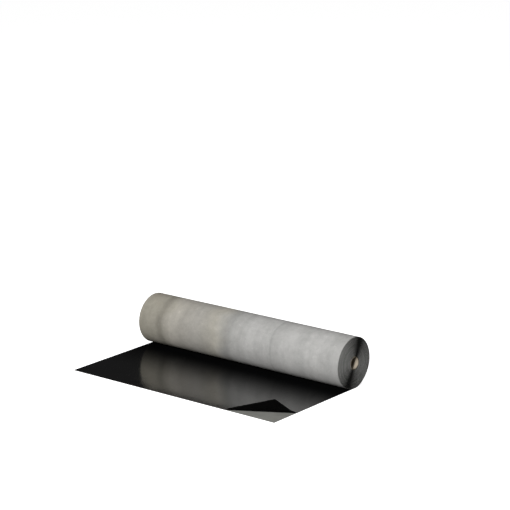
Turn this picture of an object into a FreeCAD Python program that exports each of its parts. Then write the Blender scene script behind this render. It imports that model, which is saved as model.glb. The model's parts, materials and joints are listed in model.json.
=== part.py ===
"""Roll of tanking membrane, partly unrolled, as a parametric FreeCAD document in millimetres.

The roll lies on its side with its axis along X. Its last turn is rolled out along the ground towards
-Y as a flat tail, and the tail's corner on the +X side is folded back over the tail. Each piece is
modelled about the roll's axis, and its placement lifts it so that the release liner lies on z = 0 and
the origin is under the middle of the whole thing.
"""

import FreeCAD, Part
import math
import os
import Sketcher

CENTRE = 3  # a sketch's number for an arc's centre
START, END = 1, 2
ORIGIN = (-1, 1)
VERTICAL_AXIS = -2

doc = FreeCAD.newDocument("tanking_membrane_roll")


# ---- driving dimensions ----

SIZES = [
    ("roll_width", 1000, "width of the membrane, and length of the roll"),
    ("roll_diameter", 202, "over the outermost turn and its liner"),
    ("core_bore", 44, "inside diameter of the cardboard tube"),
    ("core_wall", 4, "wall of the cardboard tube"),
    ("membrane_thickness", 1.2, "carrier film and adhesive compound together"),
    ("liner_thickness", 0.3, "siliconised release liner"),
    ("tail_length", 478, "from under the roll's axis to the tail's end"),
    ("fold_front", 220, "from the tail's corner to the fold, along its end"),
    ("fold_side", 132, "from the tail's corner to the fold, along its side"),
    ("fold_radius", 3, "inside radius of the fold"),
]

sheet = doc.addObject("Spreadsheet::Sheet", "sizes")
for row, (alias, value, note) in enumerate(SIZES, start=1):
    sheet.set(f"A{row}", alias)
    sheet.set(f"B{row}", str(value))
    sheet.set(f"C{row}", note)
    sheet.setAlias(f"B{row}", alias)
doc.recompute()

# Sizes that follow from the driving ones, as expressions on the sheet.
ROLL_RADIUS = "(sizes.roll_diameter / 2)"
WOUND_RADIUS = f"({ROLL_RADIUS} - sizes.liner_thickness)"
CORE_RADIUS = "(sizes.core_bore / 2 + sizes.core_wall)"
TAIL_TOP = f"({WOUND_RADIUS} - sizes.membrane_thickness)"  # below the roll's axis
FOLD_OUTSIDE = "(sizes.fold_radius + sizes.membrane_thickness)"
FOLD_LINE = "sqrt(sizes.fold_front * sizes.fold_front + sizes.fold_side * sizes.fold_side)"
FOLD_DEPTH = f"(sizes.fold_front * sizes.fold_side / {FOLD_LINE})"  # from the corner to the fold
FRONT_RUN = f"(sizes.fold_front * sizes.fold_front / {FOLD_LINE})"  # along the fold, from its middle
SIDE_RUN = f"(sizes.fold_side * sizes.fold_side / {FOLD_LINE})"
SIDE_X = "(sizes.roll_width / 2)"
END_Y = "(-sizes.tail_length)"
# The fold's middle is the foot of the line from the tail's corner square to the fold.
MIDDLE_X = f"({SIDE_X} - {FOLD_DEPTH} * sizes.fold_side / {FOLD_LINE})"
MIDDLE_Y = f"({END_Y} + {FOLD_DEPTH} * sizes.fold_front / {FOLD_LINE})"
# From the corner to where the flat of the tail ends and the bend starts.
CUT_FRONT = f"(sizes.fold_front * (1 + {FOLD_OUTSIDE} / {FOLD_DEPTH}))"
CUT_SIDE = f"(sizes.fold_side * (1 + {FOLD_OUTSIDE} / {FOLD_DEPTH}))"


# ---- helpers ----


def size(expression):
    """The value of an expression on the sheet."""
    value = sheet.evalExpression(str(expression))
    return float(getattr(value, "Value", value))


def new_body(name):
    """A body about the roll's axis, lifted to its place."""
    body = doc.addObject("PartDesign::Body", name)
    body.Label = name
    body.setExpression("Placement.Base.y", f"(sizes.tail_length - {ROLL_RADIUS}) / 2")
    body.setExpression("Placement.Base.z", ROLL_RADIUS)
    return body


def new_sketch(body, name, plane, offset=(0, 0, 0), turn=None):
    """A sketch on one of the body's own planes; offset and turn are in that plane's own axes."""
    sketch = body.newObject("Sketcher::SketchObject", name)
    origin_plane = next(o for o in body.Origin.OriginFeatures if o.Role == plane)
    sketch.AttachmentSupport = (origin_plane, [""])
    sketch.MapMode = "FlatFace"
    if turn is not None:
        axis, angle = turn
        rotation = FreeCAD.Rotation(FreeCAD.Vector(*axis), size(angle))
        sketch.AttachmentOffset = FreeCAD.Placement(FreeCAD.Vector(), rotation)
        sketch.setExpression("AttachmentOffset.Rotation.Angle", angle)
    for letter, expression in zip("xyz", offset):
        if expression:
            sketch.setExpression(f"AttachmentOffset.Base.{letter}", expression)
    return sketch


def bound(sketch, kind, *parts):
    """A dimension that follows an expression, which is the last of the parts."""
    *geometry, expression = parts
    index = sketch.addConstraint(Sketcher.Constraint(kind, *geometry, size(expression)))
    sketch.setExpression(f"Constraints[{index}]", str(expression))


def line(sketch, start, end):
    points = [FreeCAD.Vector(size(x), size(y), 0) for x, y in (start, end)]
    return sketch.addGeometry(Part.LineSegment(*points), False)


def arc(sketch, centre, radius, from_angle, to_angle):
    """An arc that runs anticlockwise between two angles in radians."""
    x, y = centre
    middle = FreeCAD.Vector(size(x), size(y), 0)
    circle = Part.Circle(middle, FreeCAD.Vector(0, 0, 1), size(radius))
    return sketch.addGeometry(Part.ArcOfCircle(circle, from_angle, to_angle), False)


def joined(sketch, *pairs):
    """Each pair is an (edge, end) and the (edge, end) that it meets."""
    for first, second in pairs:
        sketch.addConstraint(Sketcher.Constraint("Coincident", *first, *second))


def polygon(sketch, corners):
    """A closed outline of straight edges through corners given as pairs of expressions."""
    edges = [line(sketch, a, b) for a, b in zip(corners, corners[1:] + corners[:1])]
    for edge, following, (x, y) in zip(edges, edges[1:] + edges[:1], corners):
        joined(sketch, ((edge, END), (following, START)))
        bound(sketch, "DistanceX", edge, START, x)
        bound(sketch, "DistanceY", edge, START, y)


def angle_below(height, radius):
    """The angle, past the -Y side, of the point of a circle that lies this far below its centre."""
    return math.asin(size(height) / size(radius))


def feature(body, kind, name, sketch, length, **settings):
    """A pad or a pocket of the sketch."""
    made = body.newObject(f"PartDesign::{kind}", name)
    made.Profile = sketch
    for setting, value in settings.items():
        setattr(made, setting, value)
    made.setExpression("Length", length)
    doc.recompute()
    return made


BOTTOM, FRONT = -math.pi / 2, math.pi  # angles about the roll's axis, from +Y


# ---- core tube: the cardboard tube that the roll is wound on ----

core_tube = new_body("core_tube")
ring = new_sketch(core_tube, "tube_section", "YZ_Plane")
for radius in ("sizes.core_bore / 2", CORE_RADIUS):
    circle = ring.addGeometry(
        Part.Circle(FreeCAD.Vector(), FreeCAD.Vector(0, 0, 1), size(radius)), False
    )
    joined(ring, ((circle, CENTRE), ORIGIN))
    bound(ring, "Radius", circle, radius)
feature(core_tube, "Pad", "tube", ring, "sizes.roll_width", Midplane=True)


# ---- release liner: the outermost wrap, and the flat sheet that the tail lies on ----
# The wrap comes up from the ground behind the roll, goes over it, and stops on the tail in front.

release_liner = new_body("release_liner")
wrap = new_sketch(release_liner, "liner_section", "YZ_Plane")
nip_outer = FRONT + angle_below(TAIL_TOP, ROLL_RADIUS)
nip_inner = FRONT + angle_below(TAIL_TOP, WOUND_RADIUS)
nip_y = f"(-sqrt({ROLL_RADIUS} * {ROLL_RADIUS} - {TAIL_TOP} * {TAIL_TOP}))"
nip_inner_y = f"(-sqrt({WOUND_RADIUS} * {WOUND_RADIUS} - {TAIL_TOP} * {TAIL_TOP}))"
under = line(wrap, (END_Y, f"-{ROLL_RADIUS}"), (0, f"-{ROLL_RADIUS}"))
outside = arc(wrap, (0, 0), ROLL_RADIUS, BOTTOM, nip_outer)
edge = line(wrap, (nip_y, f"-{TAIL_TOP}"), (nip_inner_y, f"-{TAIL_TOP}"))
inside = arc(wrap, (0, 0), WOUND_RADIUS, BOTTOM, nip_inner)
top = line(wrap, (0, f"-{WOUND_RADIUS}"), (END_Y, f"-{WOUND_RADIUS}"))
end = line(wrap, (END_Y, f"-{WOUND_RADIUS}"), (END_Y, f"-{ROLL_RADIUS}"))
joined(
    wrap,
    ((under, END), (outside, START)),
    ((outside, END), (edge, START)),
    ((edge, END), (inside, END)),
    ((inside, START), (top, START)),
    ((top, END), (end, START)),
    ((end, END), (under, START)),
    ((outside, CENTRE), ORIGIN),
    ((inside, CENTRE), ORIGIN),
)
for straight in (under, edge, top):
    wrap.addConstraint(Sketcher.Constraint("Horizontal", straight))
wrap.addConstraint(Sketcher.Constraint("Vertical", end))
wrap.addConstraint(Sketcher.Constraint("PointOnObject", outside, START, VERTICAL_AXIS))
wrap.addConstraint(Sketcher.Constraint("PointOnObject", inside, START, VERTICAL_AXIS))
bound(wrap, "Radius", outside, ROLL_RADIUS)
bound(wrap, "Radius", inside, WOUND_RADIUS)
bound(wrap, "DistanceX", under, START, END_Y)
bound(wrap, "DistanceY", edge, START, f"-{TAIL_TOP}")
feature(release_liner, "Pad", "liner", wrap, "sizes.roll_width", Midplane=True)


# ---- membrane: the wound turns about the core, and the tail with its folded corner ----

membrane = new_body("membrane")
section = new_sketch(membrane, "wound_section", "YZ_Plane")
under = line(section, (END_Y, f"-{WOUND_RADIUS}"), (0, f"-{WOUND_RADIUS}"))
outside = arc(section, (0, 0), WOUND_RADIUS, BOTTOM, nip_inner)
top = line(section, (nip_inner_y, f"-{TAIL_TOP}"), (END_Y, f"-{TAIL_TOP}"))
end = line(section, (END_Y, f"-{TAIL_TOP}"), (END_Y, f"-{WOUND_RADIUS}"))
bore = section.addGeometry(
    Part.Circle(FreeCAD.Vector(), FreeCAD.Vector(0, 0, 1), size(CORE_RADIUS)), False
)
joined(
    section,
    ((under, END), (outside, START)),
    ((outside, END), (top, START)),
    ((top, END), (end, START)),
    ((end, END), (under, START)),
    ((outside, CENTRE), ORIGIN),
    ((bore, CENTRE), ORIGIN),
)
for straight in (under, top):
    section.addConstraint(Sketcher.Constraint("Horizontal", straight))
section.addConstraint(Sketcher.Constraint("Vertical", end))
section.addConstraint(Sketcher.Constraint("PointOnObject", outside, START, VERTICAL_AXIS))
bound(section, "Radius", outside, WOUND_RADIUS)
bound(section, "Radius", bore, CORE_RADIUS)
bound(section, "DistanceX", under, START, END_Y)
bound(section, "DistanceY", top, START, f"-{TAIL_TOP}")
feature(membrane, "Pad", "wound_turns_and_tail", section, "sizes.roll_width", Midplane=True)

# The tail's corner is taken off where the bend starts.
corner = new_sketch(membrane, "corner_outline", "XY_Plane", offset=(0, 0, f"-{WOUND_RADIUS}"))
polygon(
    corner,
    [
        (SIDE_X, END_Y),
        (SIDE_X, f"({END_Y} + {CUT_SIDE})"),
        (f"({SIDE_X} - {CUT_FRONT})", END_Y),
    ],
)
feature(membrane, "Pocket", "corner_cut", corner, "sizes.membrane_thickness", Reversed=True)

# The bend and the flap are one section, drawn square to the fold and padded along it, with its
# origin on the fold's outermost line at the height of the tail's underside.
fold = new_sketch(
    membrane,
    "fold_section",
    "XZ_Plane",
    offset=(MIDDLE_X, f"-{WOUND_RADIUS}", f"-{MIDDLE_Y}"),
    turn=((0, 1, 0), "-atan2(sizes.fold_front; sizes.fold_side)"),
)
bend_centre = (f"-{FOLD_OUTSIDE}", FOLD_OUTSIDE)
flap_top = f"(2 * {FOLD_OUTSIDE})"
flap_under = f"(2 * {FOLD_OUTSIDE} - sizes.membrane_thickness)"
flap_end = f"(-{FOLD_DEPTH} - {FOLD_OUTSIDE})"  # past the flap's point, which is trimmed below
outer_bend = arc(fold, bend_centre, FOLD_OUTSIDE, -math.pi / 2, math.pi / 2)
inner_bend = arc(fold, bend_centre, "sizes.fold_radius", -math.pi / 2, math.pi / 2)
upper = line(fold, (f"-{FOLD_OUTSIDE}", flap_top), (flap_end, flap_top))
tip = line(fold, (flap_end, flap_top), (flap_end, flap_under))
lower = line(fold, (flap_end, flap_under), (f"-{FOLD_OUTSIDE}", flap_under))
foot = line(fold, (f"-{FOLD_OUTSIDE}", "sizes.membrane_thickness"), (f"-{FOLD_OUTSIDE}", 0))
joined(
    fold,
    ((outer_bend, END), (upper, START)),
    ((upper, END), (tip, START)),
    ((tip, END), (lower, START)),
    ((lower, END), (inner_bend, END)),
    ((inner_bend, START), (foot, START)),
    ((foot, END), (outer_bend, START)),
    ((inner_bend, CENTRE), (outer_bend, CENTRE)),
)
for straight in (upper, lower):
    fold.addConstraint(Sketcher.Constraint("Horizontal", straight))
for straight in (tip, foot):
    fold.addConstraint(Sketcher.Constraint("Vertical", straight))
for arc_end in ((outer_bend, START), (outer_bend, END), (inner_bend, END)):
    fold.addConstraint(Sketcher.Constraint("Vertical", outer_bend, CENTRE, *arc_end))
bound(fold, "DistanceX", outer_bend, CENTRE, bend_centre[0])
bound(fold, "DistanceY", outer_bend, CENTRE, bend_centre[1])
bound(fold, "Radius", outer_bend, FOLD_OUTSIDE)
bound(fold, "Radius", inner_bend, "sizes.fold_radius")
bound(fold, "DistanceX", tip, START, flap_end)
feature(membrane, "Pad", "folded_corner", fold, f"2 * {FOLD_LINE}", Midplane=True)

# Below the middle of the bend the sheet ends at the tail's own edges.
MID_BEND = f"({FOLD_OUTSIDE} - {WOUND_RADIUS})"
lower_trim = new_sketch(membrane, "tail_edges", "XY_Plane", offset=(0, 0, MID_BEND))
polygon(
    lower_trim,
    [
        (f"({SIDE_X} - 2 * {FOLD_LINE})", END_Y),
        (SIDE_X, END_Y),
        (SIDE_X, f"({END_Y} + 2 * {FOLD_LINE})"),
        (f"({SIDE_X} + {FOLD_LINE})", f"({END_Y} + 2 * {FOLD_LINE})"),
        (f"({SIDE_X} + {FOLD_LINE})", f"({END_Y} - {FOLD_LINE})"),
        (f"({SIDE_X} - 2 * {FOLD_LINE})", f"({END_Y} - {FOLD_LINE})"),
    ],
)
feature(membrane, "Pocket", "trim_to_tail", lower_trim, FOLD_OUTSIDE)

# Above it the sheet ends at the flap's edges: the same corner, turned over about the fold.
TRIM_RUN = f"({FOLD_LINE} + {FOLD_OUTSIDE})"  # just past what was padded
TRIM_DEPTH = f"({FOLD_DEPTH} + 2 * {FOLD_OUTSIDE})"
upper_trim = new_sketch(
    membrane,
    "flap_edges",
    "XY_Plane",
    offset=(MIDDLE_X, MIDDLE_Y, MID_BEND),
    turn=((0, 0, 1), "-atan2(sizes.fold_front; sizes.fold_side)"),
)
polygon(
    upper_trim,
    [
        (0, f"-{FRONT_RUN}"),
        (f"-{FOLD_DEPTH}", 0),
        (0, SIDE_RUN),
        (0, TRIM_RUN),
        (f"-{TRIM_DEPTH}", TRIM_RUN),
        (f"-{TRIM_DEPTH}", f"-{TRIM_RUN}"),
        (0, f"-{TRIM_RUN}"),
    ],
)
feature(membrane, "Pocket", "trim_to_flap", upper_trim, FOLD_OUTSIDE, Reversed=True)


# ---- check and write ----

doc.recompute()
for made in doc.Objects:
    if {"Invalid", "Error"} & set(made.State):
        raise RuntimeError(f"{made.Label} failed: {made.State}")

os.makedirs("parts", exist_ok=True)
for piece in (membrane, release_liner, core_tube):
    shape = piece.Shape
    if shape.isNull() or not shape.isValid() or len(shape.Solids) != 1:
        raise RuntimeError(f"{piece.Label} is not one valid solid")
    shape.exportStep(f"parts/{piece.Label}.step")
    print(f"{piece.Label}: {shape.Volume / 1000:.1f} cm3")
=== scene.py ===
"""Roll of tanking membrane: its wound turns, its laid-out tail with a folded corner, and its core.

Lengths are in metres. The roll's axis runs along X and its tail is laid out towards -Y.
"""

import bpy
import bmesh
import json
import math
from mathutils import Matrix, Vector


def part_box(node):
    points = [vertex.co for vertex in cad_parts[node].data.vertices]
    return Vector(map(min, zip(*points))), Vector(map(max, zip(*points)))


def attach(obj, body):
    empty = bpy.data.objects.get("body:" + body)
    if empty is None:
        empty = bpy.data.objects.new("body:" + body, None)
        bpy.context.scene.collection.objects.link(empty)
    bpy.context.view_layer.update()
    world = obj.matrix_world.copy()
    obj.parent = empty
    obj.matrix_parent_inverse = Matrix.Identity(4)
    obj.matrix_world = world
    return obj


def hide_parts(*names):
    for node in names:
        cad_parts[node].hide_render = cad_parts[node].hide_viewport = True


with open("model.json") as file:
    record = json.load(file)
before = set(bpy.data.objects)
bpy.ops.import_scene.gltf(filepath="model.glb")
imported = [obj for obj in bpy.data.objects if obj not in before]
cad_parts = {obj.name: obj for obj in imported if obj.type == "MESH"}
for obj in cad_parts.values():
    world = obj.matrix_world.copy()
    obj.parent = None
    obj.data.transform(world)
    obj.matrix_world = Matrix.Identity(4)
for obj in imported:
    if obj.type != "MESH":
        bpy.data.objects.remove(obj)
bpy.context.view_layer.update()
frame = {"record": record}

bl_info = {
    "name": "Tanking membrane roll",
    "version": (1, 0, 0),
    "blender": (4, 5, 0),
    "location": "View3D > Sidebar > Membrane roll",
    "description": "Builds a partly unrolled roll of self-adhesive tanking membrane",
    "category": "Object",
}

TAU = 2 * math.pi
# Edges that turn by more than this are shaded sharp.
SHARP_TURN = math.radians(40)


# ---- places and sizes read from the frame ----

LINER_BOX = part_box("release_liner")
MEMBRANE_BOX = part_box("membrane")
CORE_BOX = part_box("core_tube")
HALF_WIDTH = LINER_BOX[1][0]
ROLL_RADIUS = LINER_BOX[1][2] / 2
AXIS_Y = (CORE_BOX[0][1] + CORE_BOX[1][1]) / 2
TAIL_END = LINER_BOX[0][1]
TAIL_LENGTH = AXIS_Y - TAIL_END
LINER_THICKNESS = MEMBRANE_BOX[0][2]
CORE_RADIUS = (CORE_BOX[1][2] - CORE_BOX[0][2]) / 2
BORE_MOUNT = next(m for m in frame["record"]["mounts"] if m["name"] == "core_bore")
BORE_RADIUS = BORE_MOUNT["dims"]["r_mm"] / 1000


# ---- node helpers ----


class Wire:
    """One output socket of a node tree, with arithmetic that adds Math nodes."""

    def __init__(self, net, socket):
        self.net = net
        self.socket = socket

    def math(self, operation, *others, swap=False):
        values = [self, *others]
        if swap:
            values.reverse()
        return self.net.node("ShaderNodeMath", {"operation": operation}, dict(enumerate(values)))

    def __add__(self, other):
        return self.math("ADD", other)

    def __sub__(self, other):
        return self.math("SUBTRACT", other)

    def __mul__(self, other):
        return self.math("MULTIPLY", other)

    def __truediv__(self, other):
        return self.math("DIVIDE", other)

    def __pow__(self, other):
        return self.math("POWER", other)

    def __rsub__(self, other):
        return self.math("SUBTRACT", other, swap=True)

    def __rtruediv__(self, other):
        return self.math("DIVIDE", other, swap=True)

    def __abs__(self):
        return self.math("ABSOLUTE")

    __radd__ = __add__
    __rmul__ = __mul__


def swing(noise, amount):
    """A noise made to swing about 0."""
    return amount * (noise - 0.5)


class Net:
    """A node tree being built."""

    def __init__(self, tree):
        self.tree = tree
        tree.nodes.clear()

    def node(self, kind, settings=None, inputs=None, out=0):
        """Adds a node: its settings first, then values or links for its sockets, by name or number."""
        made = self.tree.nodes.new(kind)
        for name, value in (settings or {}).items():
            if name == "stops":
                self.set_stops(made.color_ramp, value)
            else:
                setattr(made, name, value)
        for key, value in (inputs or {}).items():
            self.feed(made.inputs[key], value)
        return Wire(self, made.outputs[out]) if len(made.outputs) else made

    def feed(self, socket, value):
        if isinstance(value, Wire):
            self.tree.links.new(value.socket, socket)
        else:
            socket.default_value = value

    @staticmethod
    def set_stops(ramp, stops):
        """Stops are pairs of a place and a grey or a colour."""
        while len(ramp.elements) < len(stops):
            ramp.elements.new(1)
        for element, (place, colour) in zip(ramp.elements, stops):
            element.position = place
            element.color = (colour,) * 3 + (1,) if isinstance(colour, (int, float)) else (*colour, 1)

    def parts(self, vector):
        """The X, Y and Z of a vector."""
        split = self.node("ShaderNodeSeparateXYZ", inputs={0: vector})
        return [Wire(self, s) for s in split.socket.node.outputs]

    def vector(self, x, y, z):
        return self.node("ShaderNodeCombineXYZ", inputs={0: x, 1: y, 2: z})

    def smooth_step(self, value, low, high):
        return self.node(
            "ShaderNodeMapRange",
            {"interpolation_type": "SMOOTHSTEP"},
            {"Value": value, "From Min": low, "From Max": high},
        )

    def noise(self, vector, scale, detail=2.0, roughness=0.5):
        """Noise about 0.5."""
        sizes = {"Vector": vector, "Scale": scale, "Detail": detail, "Roughness": roughness}
        return self.node("ShaderNodeTexNoise", {"noise_dimensions": "3D"}, sizes)

    def place(self):
        """The point's place on the object."""
        return self.node("ShaderNodeTexCoord", out="Object")

    def bump(self, height, strength, distance):
        return self.node(
            "ShaderNodeBump", inputs={"Strength": strength, "Distance": distance, "Height": height}
        )

    def mix(self, factor, a, b, blend="MIX"):
        """Two colours mixed."""
        made = self.tree.nodes.new("ShaderNodeMix")
        made.data_type = "RGBA"
        made.blend_type = blend
        a, b = (colour if isinstance(colour, Wire) else (*colour, 1) for colour in (a, b))
        # The node has sockets for numbers and vectors before those for its two colours.
        for socket, value in zip((made.inputs[0], made.inputs[6], made.inputs[7]), (factor, a, b)):
            self.feed(socket, value)
        return Wire(self, made.outputs[2])

    def toned(self, colour, tone):
        """A colour made brighter or darker by a number."""
        return self.mix(1.0, colour, self.vector(tone, tone, tone), "MULTIPLY")


# ---- object helpers ----


def new_object(name, mesh, materials=()):
    """Links a mesh as an object and gives it its materials."""
    piece = bpy.data.objects.new(name, mesh)
    bpy.context.collection.objects.link(piece)
    for material in materials:
        mesh.materials.append(material)
    return piece


def applied(holder, name):
    """A plain mesh object of what the holder's modifiers make, in the holder's stead."""
    evaluated = holder.evaluated_get(bpy.context.evaluated_depsgraph_get())
    mesh = bpy.data.meshes.new_from_object(evaluated)
    mesh.set_sharp_from_angle(angle=SHARP_TURN)
    bpy.data.objects.remove(holder)
    return new_object(name, mesh)


def join(parts, name):
    """Several mesh objects as one piece."""
    first = parts[0]
    with bpy.context.temp_override(active_object=first, selected_editable_objects=parts):
        bpy.ops.object.join()
    first.name = name
    first.data.name = name
    return first


def finish_piece(piece, slot, *nodes):
    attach(piece, "root")
    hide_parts(*nodes)


# ---- materials ----


def new_material(name):
    material = bpy.data.materials.new(name)
    material.use_nodes = True
    return material, Net(material.node_tree)


def principled(net, **sockets):
    """A Principled shader; underscores in the names stand for spaces."""
    inputs = {name.replace("_", " "): value for name, value in sockets.items()}
    return net.node("ShaderNodeBsdfPrincipled", inputs=inputs)


def set_surface(net, shader):
    net.node("ShaderNodeOutputMaterial", inputs={"Surface": shader})


# Carrier film where it is cloudy.
FILM_HAZE = (0.0045, 0.0045, 0.005)
# Distances from under the roll's axis between which the film's gloss comes up.
# Nearer the roll the film's reflection is cut out: painted shade by the nip.
SHADE_FADE_START, SHADE_FADE_END = 0.075, 0.34


def film_material(settings):
    """Black carrier film, glossy at the tail's end; by the roll its gloss is cut out as painted shade."""
    material, net = new_material("carrier_film")
    place = net.place()
    _, y, _ = net.parts(place)
    cloud = net.noise(place, scale=9.0, detail=3.0)
    scuffs = net.noise(place, scale=160.0)
    ripple = net.noise(place, scale=14.0, detail=1.0)
    shared = dict(
        Base_Color=net.mix(cloud, settings.film_colour, FILM_HAZE),
        Roughness=0.12 + 0.05 * cloud + 0.03 * scuffs,
        Normal=net.bump(ripple, strength=0.05, distance=0.004),
    )
    # Without gloss, the film next to the roll paints the shade where the roll overhangs it.
    painted_shade_film = principled(net, Specular_IOR_Level=0.01, **shared)
    glossy = principled(net, Coat_Weight=1.0, Coat_Roughness=0.13, **shared)
    gloss_past_painted_shade = settings.film_gloss * net.smooth_step(AXIS_Y - y, SHADE_FADE_START, SHADE_FADE_END)
    set_surface(net, net.node("ShaderNodeMixShader", inputs={0: gloss_past_painted_shade, 1: painted_shade_film, 2: glossy}))
    return material


# Compound where it is deepest.
ADHESIVE_DEPTHS = (0.0012, 0.0012, 0.0013)


def adhesive_material(settings):
    """Matte black compound on the sheet's underside."""
    material, net = new_material("adhesive_compound")
    place = net.place()
    grain = net.noise(place, scale=420.0, detail=3.0)
    patches = net.noise(place, scale=26.0)
    shader = principled(
        net,
        Base_Color=net.mix(patches, ADHESIVE_DEPTHS, settings.adhesive_colour),
        Roughness=0.6 + 0.15 * grain,
        Specular_IOR_Level=0.01,
        Normal=net.bump(grain, strength=0.25, distance=0.0004),
    )
    set_surface(net, shader)
    return material


# Slit edge where it is darkest.
EDGE_DEPTHS = (0.004, 0.004, 0.004)


def cut_edge_material(settings):
    """The sheet's slit edges, which show as rings on the roll's ends."""
    material, net = new_material("slit_edge")
    place = net.place()
    grain = net.noise(place, scale=300.0, detail=3.0)
    patches = net.noise(place, scale=22.0, detail=3.0)
    shader = principled(
        net,
        Base_Color=net.mix(patches, EDGE_DEPTHS, settings.edge_colour),
        Roughness=0.45 + 0.12 * grain,
    )
    set_surface(net, shader)
    return material


# Tone of the liner's rings from the -X end to the +X end, as place and brightness.
RING_TONES = [
    (0.000, 0.85),
    (0.085, 0.86),
    (0.098, 0.71),
    (0.116, 0.66),
    (0.134, 0.86),
    (0.160, 1.00),
    (0.185, 0.96),
    (0.220, 0.82),
    (0.300, 0.83),
    (0.320, 0.77),
    (0.340, 0.82),
    (0.380, 0.84),
    (0.400, 0.92),
    (0.420, 0.81),
    (0.445, 0.71),
    (0.463, 0.70),
    (0.480, 0.84),
    (0.500, 0.84),
    (0.520, 0.79),
    (0.560, 0.88),
    (0.620, 0.85),
    (0.668, 0.84),
    (0.674, 0.67),
    (0.681, 0.78),
    (0.700, 0.79),
    (0.720, 0.86),
    (0.770, 0.88),
    (0.810, 0.78),
    (0.840, 0.85),
    (0.900, 0.86),
    (0.945, 0.75),
    (1.000, 0.80),
]

# Colour of the liner from the -X end to the +X end, darker and warmer towards -X.
LINER_CASTS = [
    (0.00, (0.42, 0.395, 0.33)),
    (0.12, (0.43, 0.405, 0.345)),
    (0.17, (0.46, 0.435, 0.385)),
    (0.30, (0.49, 0.47, 0.43)),
    (0.38, (0.50, 0.475, 0.415)),
    (0.46, (0.49, 0.485, 0.465)),
    (0.55, (0.52, 0.515, 0.50)),
    (1.00, (0.54, 0.535, 0.52)),
]

# A faint brown stain, and where it fades along the roll from the -X end, as shares of its length.
STAIN = (0.33, 0.27, 0.22)
STAIN_FADES = (0.04, 0.1)
# Heights of the noise between which the stain and the pale specks come up.
STAIN_LEVELS = (0.5, 0.7)
SPECK_LEVELS = (0.66, 0.74)


def liner_material(settings):
    """Pale grey siliconised paper, darker and warmer towards -X, with soft rings round the roll."""
    material, net = new_material("release_paper")
    place = net.place()
    x, y, z = net.parts(place)
    across = (x + HALF_WIDTH) / (2 * HALF_WIDTH)
    # Rings: tone against the place along the roll, with edges that wander round it.
    wander = net.noise(net.vector(x * 3, y * 6, z * 6), scale=1.6) - 0.5
    rings = net.node("ShaderNodeValToRGB", {"stops": RING_TONES}, {"Fac": across + 0.02 * wander})
    cast = net.node("ShaderNodeValToRGB", {"stops": LINER_CASTS}, {"Fac": across + 0.12 * wander})
    # Streaks run round the roll, as the paper was drawn.
    streaks = net.noise(net.vector(x * 60, y * 5, z * 5), scale=1.0, detail=3.0, roughness=0.6)
    mottle = net.noise(place, scale=38.0, detail=4.0, roughness=0.65)
    fibres = net.noise(place, scale=330.0, detail=3.0, roughness=0.6)
    blotches = net.noise(place, scale=13.0, detail=3.0, roughness=0.6)
    specks = net.smooth_step(net.noise(place, scale=95.0), *SPECK_LEVELS)
    tone = 1 + swing(streaks, 0.17) + swing(blotches, 0.2) + 0.12 * specks
    tone = tone + swing(mottle, 0.46) + swing(fibres, 0.34)
    paper = net.mix(1.0, net.toned(cast, tone), rings, "MULTIPLY")
    stain = net.smooth_step(net.noise(place, scale=7.0), *STAIN_LEVELS)
    at_end = 1 - net.smooth_step(across, *STAIN_FADES)
    paper = net.mix(0.5 * (stain * at_end), paper, STAIN)
    inner = net.node("ShaderNodeAttribute", {"attribute_name": "inner_face"}, out="Fac")
    silicone = net.toned(settings.silicone_colour, 1 + swing(blotches, 0.6))
    shader = principled(
        net,
        Base_Color=net.mix(inner, paper, silicone),
        Roughness=0.62 + 0.16 * mottle,
        Specular_IOR_Level=0.3,
        Normal=net.bump(0.7 * mottle + 0.3 * fibres, strength=0.3, distance=0.0006),
    )
    set_surface(net, shader)
    return material


# Compound smeared over the liner's slit edges.
SMEAR = (0.012, 0.012, 0.011)


def liner_edge_material(settings):
    """The liner between the turns, whose slit edges are smeared with compound."""
    material, net = new_material("wound_paper")
    place = net.place()
    _, y, z = net.parts(place)
    fibres = net.noise(place, scale=330.0, detail=3.0, roughness=0.6)
    slit = net.node("ShaderNodeAttribute", {"attribute_name": "slit_face"}, out="Fac")
    # Rings: some turns are cleaner than others.
    height = z - ROLL_RADIUS
    radius = ((y - AXIS_Y) * (y - AXIS_Y) + height * height).math("SQRT")
    turns = net.noise(net.vector(radius * 150, 0.0, 0.0), scale=1.0, detail=3.0, roughness=0.7)
    paper = net.toned(settings.wound_colour, 1 + swing(turns, 2.0) + swing(fibres, 0.2))
    shader = principled(
        net,
        Base_Color=net.mix(slit, paper, SMEAR),
        Roughness=0.7 + 0.1 * fibres,
        Specular_IOR_Level=0.2,
    )
    set_surface(net, shader)
    return material


# Width of the tube's spiral plies along its axis, and where their seams are, in widths from a ply's middle.
PLY_WIDTH = 0.1
SEAM_RISE = (0.485, 0.5)
# Tones of the board's pale fibres and of its dark seams, against its own colour.
PALE, DARK = 1.25, 0.35


def cardboard_material(name, colour):
    """Tube board, with the seams of its spiral-wound plies."""
    material, net = new_material(name)
    place = net.place()
    x, y, z = net.parts(place)
    turn = (y - AXIS_Y).math("ARCTAN2", z - ROLL_RADIUS) / TAU
    along = (x / PLY_WIDTH + turn).math("FRACT")
    seam = net.smooth_step(abs(along - 0.5), *SEAM_RISE)
    fibres = net.noise(net.vector(x * 3, y * 9, z * 9), scale=40.0, detail=4.0, roughness=0.65)
    blotches = net.noise(place, scale=22.0)
    pale, dark = ([tone * c for c in colour] for tone in (PALE, DARK))
    board = net.mix(fibres, colour, pale)
    shader = principled(
        net,
        Base_Color=net.mix(0.55 * seam + 0.2 * blotches, board, dark),
        Roughness=0.85 + 0.1 * fibres,
        Specular_IOR_Level=0.2,
        Normal=net.bump(fibres - 1.5 * seam, strength=0.5, distance=0.0003),
    )
    set_surface(net, shader)
    return material


# ---- wound strip: a flat strip laid on the ground and then wound up ----

# How the turns stand out at the +X end: quickly at first, then slowly towards the core.
DISH_POWER = 0.2
# Angles, in radians, over which the first turn moves sideways and its edges draw in.
SIDESTEP_TURN = 0.8
SET_BACK_TURN = 0.5
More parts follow.
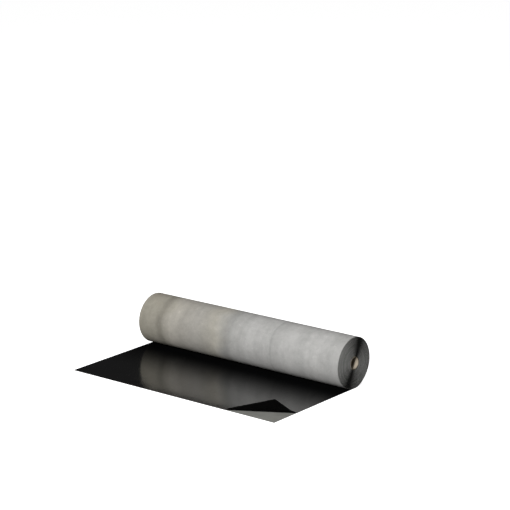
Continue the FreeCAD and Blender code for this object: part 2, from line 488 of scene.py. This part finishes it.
# The edges' wandering round the roll: waves for each radian, and which of the random waves it takes.
DRIFT_RATE = 0.55
DRIFT_SEED = 3.7
# The ripples along the roll and round it, in the same way.
RIPPLE_RATES = (13, 0.35)
RIPPLE_SEED = 1.3
# Angles between which the ripples come up, and between which they die out again.
RIPPLE_RISE = (0.15, 0.9)
RIPPLE_FALL = (TAU - 0.9, TAU - 0.2)
# A face or point this close to the strip's long edge is on it.
EDGE_MARGIN = 0.00001

STRIP_INPUTS = {
    "Width": "NodeSocketFloat",
    "Thickness": "NodeSocketFloat",
    "Lift": "NodeSocketFloat",
    "Roll Radius": "NodeSocketFloat",
    "Turn Pitch": "NodeSocketFloat",
    "Axis Y": "NodeSocketFloat",
    "Start Angle": "NodeSocketFloat",
    "End Angle": "NodeSocketFloat",
    "Steps Along": "NodeSocketInt",
    "Steps Across": "NodeSocketInt",
    "Steps Through": "NodeSocketInt",
    "Edge Drift": "NodeSocketFloat",
    "Dish": "NodeSocketFloat",
    "Sidestep": "NodeSocketFloat",
    "Set Back": "NodeSocketFloat",
    "Ripple": "NodeSocketFloat",
    "Material": "NodeSocketMaterial",
}


def mark_faces(net, geometry, name, is_marked):
    """Stores a yes or no on each face."""
    return net.node(
        "GeometryNodeStoreNamedAttribute",
        {"data_type": "FLOAT", "domain": "FACE"},
        {"Geometry": geometry, "Name": name, "Value": is_marked},
    )


def strip_tree():
    """A strip whose length is measured as an angle of the roll: it is flat before 0 and wound after.

    Lift is the height of the strip's underside above the stack's outer face.
    """
    if tree := bpy.data.node_groups.get("wound_strip"):
        return tree
    tree = bpy.data.node_groups.new("wound_strip", "GeometryNodeTree")
    for name, kind in STRIP_INPUTS.items():
        tree.interface.new_socket(name, in_out="INPUT", socket_type=kind)
    tree.interface.new_socket("Geometry", in_out="OUTPUT", socket_type="NodeSocketGeometry")
    net = Net(tree)
    group = net.node("NodeGroupInput").socket.node
    given = {name: Wire(net, group.outputs[name]) for name in STRIP_INPUTS}
    half = given["Thickness"] / 2

    block = net.node(
        "GeometryNodeMeshCube",
        inputs={
            "Size": net.vector(given["Width"], 1.0, given["Thickness"]),
            "Vertices X": given["Steps Across"] + 1,
            "Vertices Y": given["Steps Along"] + 1,
            "Vertices Z": given["Steps Through"] + 1,
        },
    )
    x, y, z = net.parts(net.node("GeometryNodeInputPosition"))
    # The block's upper face turns inwards as the strip is wound.
    is_inner = z.math("GREATER_THAN", half * 0.9)
    is_edge = abs(x).math("GREATER_THAN", given["Width"] / 2 - EDGE_MARGIN)
    marked = mark_faces(net, block, "inner_face", is_inner)
    marked = mark_faces(net, marked, "slit_face", is_edge)
    angle = given["Start Angle"] + (y + 0.5) * (given["End Angle"] - given["Start Angle"])

    # The two long edges are rounded, and wander sideways from turn to turn.
    rounding = (half * half - z * z).math("MAXIMUM", 0.0).math("SQRT") - half
    side = x.math("SIGN")
    drift = net.noise(net.vector(angle * DRIFT_RATE, DRIFT_SEED, 0.0), scale=1.0, detail=3.0)
    turns = angle.math("MAXIMUM", 0.0) / TAU
    shift = swing(drift, 2 * given["Edge Drift"]) + given["Dish"] * turns**DISH_POWER
    shift = shift - given["Sidestep"] * net.smooth_step(angle, 0.0, SIDESTEP_TURN)
    set_back = given["Set Back"] * net.smooth_step(angle, 0.0, SET_BACK_TURN)
    new_x = x + side * (is_edge * rounding - set_back) + shift

    # Soft ripples stand proud of the roll, and die out where it touches the ground or the tail.
    free = net.smooth_step(angle, *RIPPLE_RISE) * (1 - net.smooth_step(angle, *RIPPLE_FALL))
    along_rate, round_rate = RIPPLE_RATES
    swell = net.noise(net.vector(x * along_rate, angle * round_rate, RIPPLE_SEED), scale=1.0)
    height = given["Lift"] + z + half - given["Ripple"] * free * swell

    # Flat along the ground before angle 0, and wound about the axis after it.
    radius = given["Roll Radius"] - given["Turn Pitch"] * angle / TAU - height
    flat = net.vector(new_x, given["Axis Y"] + angle * given["Roll Radius"], height)
    wound = net.vector(
        new_x,
        given["Axis Y"] + radius * angle.math("SINE"),
        given["Roll Radius"] - radius * angle.math("COSINE"),
    )
    place = net.node(
        "GeometryNodeSwitch",
        {"input_type": "VECTOR"},
        {"Switch": angle.math("LESS_THAN", 0.0), "False": wound, "True": flat},
    )
    laid = net.node("GeometryNodeSetPosition", inputs={"Geometry": marked, "Position": place})
    smooth = net.node("GeometryNodeSetShadeSmooth", inputs={"Geometry": laid})
    real = net.node("GeometryNodeRealizeInstances", inputs={"Geometry": smooth})
    dressed = net.node(
        "GeometryNodeSetMaterial", inputs={"Geometry": real, "Material": given["Material"]}
    )
    net.node("NodeGroupOutput", inputs={"Geometry": dressed})
    return tree


def wound_strip(name, **values):
    """A plain mesh object made by the strip tree; underscores in the names stand for spaces."""
    holder = new_object(name, bpy.data.meshes.new(name))
    modifier = holder.modifiers.new("wound_strip", "NODES")
    modifier.node_group = strip_tree()
    given = {"Roll Radius": ROLL_RADIUS, "Axis Y": AXIS_Y}
    given.update({key.replace("_", " "): value for key, value in values.items()})
    for item in modifier.node_group.interface.items_tree:
        if item.in_out == "INPUT":
            modifier[item.identifier] = given[item.name]
    return applied(holder, name)


# ---- the tail's sheet with its folded corner ----

# Width of the flat strip that is left beside the fold.
FOLD_MARGIN = 0.002
# Steps along the fold, round its bend and out over its flap.
FOLD_STEPS, BEND_STEPS, FLAP_STEPS = 40, 10, 22


class FoldedCorner:
    """Where a point of the flat tail goes when its corner is folded back over it.

    Along the fold the places run from the tail's end towards its side; across it they run outwards
    to the corner. The sheet is followed at the middle of its thickness.
    """

    def __init__(self, settings, thickness):
        front, side = settings.fold_front, settings.fold_side
        length = math.hypot(front, side)
        self.outwards = Vector((side / length, -front / length, 0))
        self.along = Vector((front / length, side / length, 0))
        self.depth = front * side / length
        self.corner = Vector((HALF_WIDTH, TAIL_END, 0))
        self.foot = self.corner - self.outwards * self.depth
        self.start = -front * front / length
        self.end = side * side / length
        self.radius = settings.fold_radius + thickness / 2
        self.lean = settings.flap_lean
        self.reach = settings.flap_reach
        self.tip_lift = settings.tip_lift
        self.tuck = settings.flap_tuck

    def row(self, across, count=FOLD_STEPS):
        """A row of the sheet's points along the fold, this far out from it, as they lie once folded."""
        share = across / self.depth
        bend = max(0.0, min(across / self.radius, math.pi))
        past = max(0.0, across - math.pi * self.radius)
        flap = past / (self.depth - math.pi * self.radius)
        out = min(across, 0.0) + self.radius * math.sin(bend) - past - self.reach * flap
        up = self.radius * (1 - math.cos(bend)) + self.tip_lift * flap**2
        end = self.end - self.tuck * (bend / math.pi) ** 4
        points = []
        for step in range(count + 1):
            along = self.start + (end - self.start) * step / count
            along = along * (1 - share) - self.lean * flap
            points.append(self.foot + self.along * along + self.outwards * out + Vector((0, 0, up)))
        return points


def tail_sheet(settings, thickness, height):
    """The middle surface of the tail, from under the roll's axis to its end, given its thickness."""
    fold = FoldedCorner(settings, thickness)
    mesh = bmesh.new()
    lift = Vector((0, 0, height + thickness / 2))

    def corners(points):
        return [mesh.verts.new(Vector(p) + lift) for p in points]

    # The flat part: everything but the folded corner and a narrow strip beside the fold.
    last = corners(fold.row(-FOLD_MARGIN))
    ends = [(HALF_WIDTH, AXIS_Y, 0), (-HALF_WIDTH, AXIS_Y, 0), (-HALF_WIDTH, TAIL_END, 0)]
    mesh.faces.new(last + corners(ends))

    # The bend and the flap, in rows along the fold, and the flap's point.
    bend = math.pi * fold.radius
    flap = fold.depth - bend
    across = [bend * i / BEND_STEPS for i in range(BEND_STEPS + 1)]
    across += [bend + flap * i / FLAP_STEPS for i in range(1, FLAP_STEPS)]
    for place in across:
        row = corners(fold.row(place))
        for a, b, c, d in zip(last, last[1:], row[1:], row):
            mesh.faces.new((d, c, b, a))
        last = row
    tip = corners(fold.row(fold.depth, 1)[:1])[0]
    for a, b in zip(last, last[1:]):
        mesh.faces.new((tip, b, a))

    # The film is on the upper side, so the flat part's face has to look up.
    bmesh.ops.recalc_face_normals(mesh, faces=mesh.faces)
    mesh.faces.ensure_lookup_table()
    if mesh.faces[0].normal.z < 0:
        bmesh.ops.reverse_faces(mesh, faces=mesh.faces)
    for face in mesh.faces:
        face.smooth = True
    data = bpy.data.meshes.new("tail_sheet")
    mesh.to_mesh(data)
    mesh.free()
    return data


def solid_sheet(data, thickness, materials):
    """Gives a middle surface its thickness: film above, adhesive below, slit edge at the rim."""
    holder = new_object(data.name, data, materials)
    wall = holder.modifiers.new("thickness", "SOLIDIFY")
    wall.thickness = thickness
    wall.offset = 0
    wall.material_offset = 1
    wall.material_offset_rim = 2
    return applied(holder, "tail")


# ---- settings ----


class RollSettings(bpy.types.PropertyGroup):
    membrane_thickness: bpy.props.FloatProperty(
        name="Membrane thickness",
        description="Carrier film and adhesive compound together",
        default=0.0012,
        unit="LENGTH",
    )
    steps_per_turn: bpy.props.IntProperty(
        name="Steps per turn", description="Facets round each turn", default=96
    )
    edge_drift: bpy.props.FloatProperty(
        name="Edge drift",
        description="How far a turn's edge strays from its neighbours",
        default=0.0008,
        unit="LENGTH",
    )
    dish: bpy.props.FloatProperty(
        name="Dish",
        description="How far the innermost turn stands out from the outermost at the +X end",
        default=0.008,
        unit="LENGTH",
    )
    sidestep: bpy.props.FloatProperty(
        name="Sidestep",
        description="How far all the turns are moved towards -X, against the dish",
        default=0.004,
        unit="LENGTH",
    )
    set_back: bpy.props.FloatProperty(
        name="Set-back",
        description="How far the wound membrane's edges lie inside the liner's",
        default=0.0012,
        unit="LENGTH",
    )
    film_gloss: bpy.props.FloatProperty(
        name="Film gloss", description="How glossy the film is at the tail's end", default=0.84
    )
    film_colour: bpy.props.FloatVectorProperty(
        name="Film", description="Carrier film", default=(0.002, 0.002, 0.0019), subtype="COLOR"
    )
    adhesive_colour: bpy.props.FloatVectorProperty(
        name="Adhesive", description="Compound's face", default=(0.002, 0.002, 0.0018), subtype="COLOR"
    )
    edge_colour: bpy.props.FloatVectorProperty(
        name="Slit edge", description="Edges of the turns", default=(0.009, 0.009, 0.0085),
        subtype="COLOR",
    )


class FoldSettings(bpy.types.PropertyGroup):
    fold_front: bpy.props.FloatProperty(
        name="Fold at the end",
        description="From the tail's corner to the fold, along its end",
        default=0.234,
        unit="LENGTH",
    )
    fold_side: bpy.props.FloatProperty(
        name="Fold at the side",
        description="From the tail's corner to the fold, along its side",
        default=0.131,
        unit="LENGTH",
    )
    fold_radius: bpy.props.FloatProperty(
        name="Fold radius", description="Inside radius of the bend", default=0.003, unit="LENGTH"
    )
    flap_lean: bpy.props.FloatProperty(
        name="Flap lean",
        description="How far the flap's point is pulled towards the tail's end, along the fold",
        default=0.036,
        unit="LENGTH",
    )
    flap_reach: bpy.props.FloatProperty(
        name="Flap reach", description="How far the flap's point is pulled inwards", default=0.016,
        unit="LENGTH",
    )
    flap_tuck: bpy.props.FloatProperty(
        name="Flap tuck",
        description="How far the flap's side is drawn in at the end of the fold",
        default=0.014,
        unit="LENGTH",
    )
    tip_lift: bpy.props.FloatProperty(
        name="Tip lift", description="Height of the flap's point over the rest", default=0.0005,
        unit="LENGTH",
    )


class LinerSettings(bpy.types.PropertyGroup):
    ripple: bpy.props.FloatProperty(
        name="Ripple", description="Height of the soft rings", default=0.0008, unit="LENGTH"
    )
    silicone_colour: bpy.props.FloatVectorProperty(
        name="Silicone side", description="Liner's inner face", default=(0.215, 0.216, 0.199),
        subtype="COLOR",
    )
    wound_colour: bpy.props.FloatVectorProperty(
        name="Wound liner", description="Liner between the turns", default=(0.27, 0.27, 0.26),
        subtype="COLOR",
    )


class CoreSettings(bpy.types.PropertyGroup):
    board_colour: bpy.props.FloatVectorProperty(
        name="Board", description="Cardboard", default=(0.38, 0.33, 0.26), subtype="COLOR"
    )
    cut_colour: bpy.props.FloatVectorProperty(
        name="Cut board", description="The tube's cut ends", default=(0.085, 0.078, 0.062),
        subtype="COLOR",
    )


class StageSettings(bpy.types.PropertyGroup):
    azimuth: bpy.props.FloatProperty(
        name="Azimuth",
        description="How far round towards +X the camera stands from the tail's end",
        default=math.radians(39.59),
        subtype="ANGLE",
    )
    elevation: bpy.props.FloatProperty(
        name="Elevation",
        description="How far down the camera looks",
        default=math.radians(14.905),
        subtype="ANGLE",
    )
    camera_roll: bpy.props.FloatProperty(
        name="Roll", description="Tilt of the horizon", default=math.radians(-0.808), subtype="ANGLE"
    )
    distance: bpy.props.FloatProperty(
        name="Distance", description="From the camera to its aim", default=7.364, unit="LENGTH"
    )
    aim: bpy.props.FloatVectorProperty(
        name="Aim",
        description="What the camera looks at, from the ground under the middle of the roll's axis",
        default=(0.192, -0.2, 0.514),
        subtype="XYZ",
    )
    lens: bpy.props.FloatProperty(
        name="Lens", description="Focal length", default=140.0, unit="CAMERA"
    )
    key_power: bpy.props.FloatProperty(name="Key light", description="Watts", default=285.0)
    ambient: bpy.props.FloatProperty(name="Ambient", description="Light from above", default=0.03)
    top_power: bpy.props.FloatProperty(name="Top light", description="Watts", default=42.0)


# ---- pieces ----

# The liner's outer wrap, made finely, ends this far round; the turns inside it carry on from there.
WRAP_END = TAU * 1.02
# How much finer the outer wrap is round the roll than the turns inside it, and its steps along it.
WRAP_FINENESS = 1.25
WRAP_STEPS_ACROSS = 120
# The tube's chamfer, and the facets round it.
CORE_CHAMFER = 0.0006
CORE_FACETS = 96


def winding(roll):
    """What the membrane's and the liner's strips share, and the angle at which they end at the core."""
    pitch = roll.membrane_thickness + LINER_THICKNESS
    end = TAU * ((ROLL_RADIUS - CORE_RADIUS) / pitch - 1)
    shared = dict(
        Width=2 * HALF_WIDTH,
        Turn_Pitch=pitch,
        Dish=roll.dish / (end / TAU) ** DISH_POWER,
        Sidestep=roll.sidestep,
    )
    return shared, end


class BuildMembrane(bpy.types.Operator):
    """Wind the membrane's turns and lay out its tail with the folded corner"""

    bl_idname = "membrane_roll.membrane"
    bl_label = "Membrane"

    def execute(self, context):
        roll, fold = context.scene.membrane_roll, context.scene.membrane_fold
        shared, end = winding(roll)
        film, adhesive, edge = film_material(roll), adhesive_material(roll), cut_edge_material(roll)
        turns = wound_strip(
            "turns",
            Thickness=roll.membrane_thickness,
            Lift=LINER_THICKNESS,
            Start_Angle=0.0,
            End_Angle=end,
            Steps_Along=round(end / TAU * roll.steps_per_turn),
            Steps_Across=1,
            Steps_Through=4,
            Edge_Drift=roll.edge_drift,
            Set_Back=roll.set_back,
            Ripple=0.0,
            Material=edge,
            **shared,
        )
        data = tail_sheet(fold, roll.membrane_thickness, LINER_THICKNESS)
        tail = solid_sheet(data, roll.membrane_thickness, (film, adhesive, edge))
        piece = join([tail, turns], "membrane_sheet")
        finish_piece(piece, "membrane", "membrane")
        return {"FINISHED"}


class BuildLiner(bpy.types.Operator):
    """Wind the release liner's turns and lay out its flat end"""

    bl_idname = "membrane_roll.release_liner"
    bl_label = "Release liner"

    def execute(self, context):
        roll, liner = context.scene.membrane_roll, context.scene.membrane_liner
        shared, end = winding(roll)
        shared.update(Thickness=LINER_THICKNESS, Lift=0.0, Set_Back=0.0, Steps_Through=1)
        tail_angle = TAIL_LENGTH / ROLL_RADIUS
        wrap_turns = (tail_angle + WRAP_END) / TAU
        outer = wound_strip(
            "outer_wrap",
            Start_Angle=-tail_angle,
            End_Angle=WRAP_END,
            Steps_Along=round(wrap_turns * roll.steps_per_turn * WRAP_FINENESS),
            Steps_Across=WRAP_STEPS_ACROSS,
            Edge_Drift=0.0,
            Ripple=liner.ripple,
            Material=liner_material(liner),
            **shared,
        )
        inner = wound_strip(
            "inner_turns",
            Start_Angle=WRAP_END,
            End_Angle=end,
            Steps_Along=round((end - WRAP_END) / TAU * roll.steps_per_turn),
            Steps_Across=1,
            Edge_Drift=roll.edge_drift,
            Ripple=0.0,
            Material=liner_edge_material(liner),
            **shared,
        )
        piece = join([outer, inner], "liner_sheet")
        finish_piece(piece, "release_liner", "release_liner")
        return {"FINISHED"}


class BuildCore(bpy.types.Operator):
    """Make the cardboard tube that the membrane is wound on"""

    bl_idname = "membrane_roll.core_tube"
    bl_label = "Core tube"

    def execute(self, context):
        settings = context.scene.membrane_core
        roll = context.scene.membrane_roll
        # The tube stands out with the innermost turn.
        shift = roll.dish - roll.sidestep
        left, right = shift - HALF_WIDTH, shift + HALF_WIDTH
        lip = CORE_CHAMFER
        section = [
            (left, BORE_RADIUS + lip),
            (left, CORE_RADIUS - lip),
            (left + lip, CORE_RADIUS),
            (right - lip, CORE_RADIUS),
            (right, CORE_RADIUS - lip),
            (right, BORE_RADIUS + lip),
            (right - lip, BORE_RADIUS),
            (left + lip, BORE_RADIUS),
        ]
        mesh = bmesh.new()
        rings = []
        for x, radius in section:
            ring = []
            for i in range(CORE_FACETS):
                angle = TAU * i / CORE_FACETS
                y = AXIS_Y + radius * math.sin(angle)
                ring.append(mesh.verts.new((x, y, ROLL_RADIUS - radius * math.cos(angle))))
            rings.append(ring)
        for ring, following in zip(rings, rings[1:] + rings[:1]):
            for a, b, c, d in zip(ring, ring[1:] + ring[:1], following[1:] + following[:1], following):
                face = mesh.faces.new((a, b, c, d))
                # The second material goes on the cut ends.
                face.material_index = int(abs(a.co.x - c.co.x) < lip / 2)
        bmesh.ops.recalc_face_normals(mesh, faces=mesh.faces)
        data = bpy.data.meshes.new("core")
        mesh.to_mesh(data)
        mesh.free()
        data.shade_smooth()
        data.set_sharp_from_angle(angle=SHARP_TURN)
        materials = [
            cardboard_material("tube_board", settings.board_colour),
            cardboard_material("cut_board", settings.cut_colour),
        ]
        piece = new_object("core_board", data, materials)
        finish_piece(piece, "core_tube", "core_tube")
        return {"FINISHED"}


# ---- stage ----

# The room's light from its horizon, and the heights on the sky between which more comes from above.
HORIZON_LIGHT = 0.025
SKY_RISE = (0.3, 0.85)
# Half the floor's side, and how far it lies below the liner, so that the two faces never coincide.
FLOOR_REACH = 12.0
FLOOR_DROP = 0.0004
# The floor's tone to the camera and to everything else, and its own glow to the camera.
FLOOR_SEEN = (0.85, 0.85, 0.85)
FLOOR_BOUNCE = (0.15, 0.15, 0.15)
FLOOR_GLOW = 0.94
# Height of the lamps' aim.
AIM_HEIGHT = 0.08
SENSOR_WIDTH = 36.0
FURTHEST_SEEN = 60.0
WHITE = (1, 1, 1, 1)


def disk_light(name, power, size, place, aim):
    """A round lamp that lights the roll but isn't mirrored in its film."""
    light = bpy.data.lights.new(name, "AREA")
    light.shape = "DISK"
    light.size = size
    light.energy = power
    lamp = bpy.data.objects.new(name, light)
    lamp.location = place
    lamp.rotation_euler = (Vector(aim) - Vector(place)).to_track_quat("-Z", "Y").to_euler()
    lamp.visible_glossy = False
    bpy.context.collection.objects.link(lamp)


def stage_world(settings):
    """White to the camera; for everything else a dim room with soft light from above."""
    world = bpy.data.worlds.new("studio")
    world.use_nodes = True
    net = Net(world.node_tree)
    _, _, up = net.parts(net.node("ShaderNodeTexCoord", out="Generated"))
    light = HORIZON_LIGHT + settings.ambient * net.smooth_step(up, *SKY_RISE)
    camera = net.node("ShaderNodeLightPath", out="Is Camera Ray")
    strength = light * (1 - camera) + camera
    sky = net.node("ShaderNodeBackground", inputs={"Color": WHITE, "Strength": strength})
    net.node("ShaderNodeOutputWorld", inputs={"Surface": sky})
    bpy.context.scene.world = world


def stage_floor():
    """A pale floor that looks white, keeps a faint shadow and throws little light back."""
    mesh = bmesh.new()
    bmesh.ops.create_grid(mesh, x_segments=1, y_segments=1, size=FLOOR_REACH)
    data = bpy.data.meshes.new("floor")
    mesh.to_mesh(data)
    mesh.free()
    data.transform(Matrix.Translation((0, 0, -FLOOR_DROP)))
    material, net = new_material("pale_floor")
    camera = net.node("ShaderNodeLightPath", out="Is Camera Ray")
    colour = net.mix(camera, FLOOR_BOUNCE, FLOOR_SEEN)
    matt = net.node("ShaderNodeBsdfDiffuse", inputs={"Color": colour})
    glow = net.node("ShaderNodeEmission", inputs={"Color": WHITE, "Strength": FLOOR_GLOW * camera})
    set_surface(net, net.node("ShaderNodeAddShader", inputs={0: matt, 1: glow}))
    floor = new_object("floor", data, [material])


def stage_camera(settings):
    turn, tilt, lean = settings.azimuth, settings.elevation, settings.camera_roll
    ahead = Vector(
        (-math.sin(turn) * math.cos(tilt), math.cos(turn) * math.cos(tilt), -math.sin(tilt))
    )
    right = Vector((math.cos(turn), math.sin(turn), 0))
    up = right.cross(ahead)
    side = right * math.cos(lean) + up * math.sin(lean)
    top = up * math.cos(lean) - right * math.sin(lean)
    aim = Vector(settings.aim) + Vector((0, AXIS_Y, 0))
    lens = bpy.data.cameras.new("camera")
    lens.lens = settings.lens
    lens.sensor_width = SENSOR_WIDTH
    lens.clip_end = FURTHEST_SEEN
    camera = bpy.data.objects.new("camera", lens)
    pose = Matrix((side, top, -ahead)).transposed().to_4x4()
    pose.translation = aim - ahead * settings.distance
    camera.matrix_world = pose
    bpy.context.collection.objects.link(camera)
    bpy.context.scene.camera = camera


class BuildStage(bpy.types.Operator):
    """Set up the floor, the lights and the camera"""

    bl_idname = "membrane_roll.stage"
    bl_label = "Stage"

    def execute(self, context):
        settings = context.scene.membrane_stage
        context.scene.view_settings.view_transform = "Standard"
        stage_camera(settings)
        stage_world(settings)
        stage_floor()
        disk_light(
            "key", settings.key_power, size=1.0, place=(2.2, -4.2, 2.55), aim=(0, 0, AIM_HEIGHT)
        )
        disk_light(
            "top",
            settings.top_power,
            size=1.8,
            place=(0, AXIS_Y + 0.75, 4.0),
            aim=(0, AXIS_Y, AIM_HEIGHT),
        )
        return {"FINISHED"}


class MembranePanel(bpy.types.Panel):
    """Lists the roll's settings and build steps"""

    bl_idname = "VIEW3D_PT_membrane_roll"
    bl_label = "Membrane roll"
    bl_space_type = "VIEW_3D"
    bl_region_type = "UI"
    bl_category = "Membrane roll"

    def draw(self, context):
        for operator, groups in STEPS.items():
            box = self.layout.box()
            for group in groups:
                settings = getattr(context.scene, group)
                for name in settings.__annotations__:
                    box.prop(settings, name)
            box.operator(operator)


SETTINGS = {
    "membrane_roll": RollSettings,
    "membrane_fold": FoldSettings,
    "membrane_liner": LinerSettings,
    "membrane_core": CoreSettings,
    "membrane_stage": StageSettings,
}
# Each build step, and the settings that the panel lists with it.
STEPS = {
    "membrane_roll.membrane": ("membrane_roll", "membrane_fold"),
    "membrane_roll.release_liner": ("membrane_liner",),
    "membrane_roll.core_tube": ("membrane_core",),
    "membrane_roll.stage": ("membrane_stage",),
}
CLASSES = (*SETTINGS.values(), BuildMembrane, BuildLiner, BuildCore, BuildStage, MembranePanel)


def register():
    for cls in CLASSES:
        bpy.utils.register_class(cls)
    for name, cls in SETTINGS.items():
        setattr(bpy.types.Scene, name, bpy.props.PointerProperty(type=cls))


def unregister():
    for name in SETTINGS:
        delattr(bpy.types.Scene, name)
    for cls in reversed(CLASSES):
        bpy.utils.unregister_class(cls)


def main():
    register()
    bpy.ops.membrane_roll.membrane()
    bpy.ops.membrane_roll.release_liner()
    bpy.ops.membrane_roll.core_tube()
    bpy.ops.membrane_roll.stage()


if __name__ == "__main__":
    main()
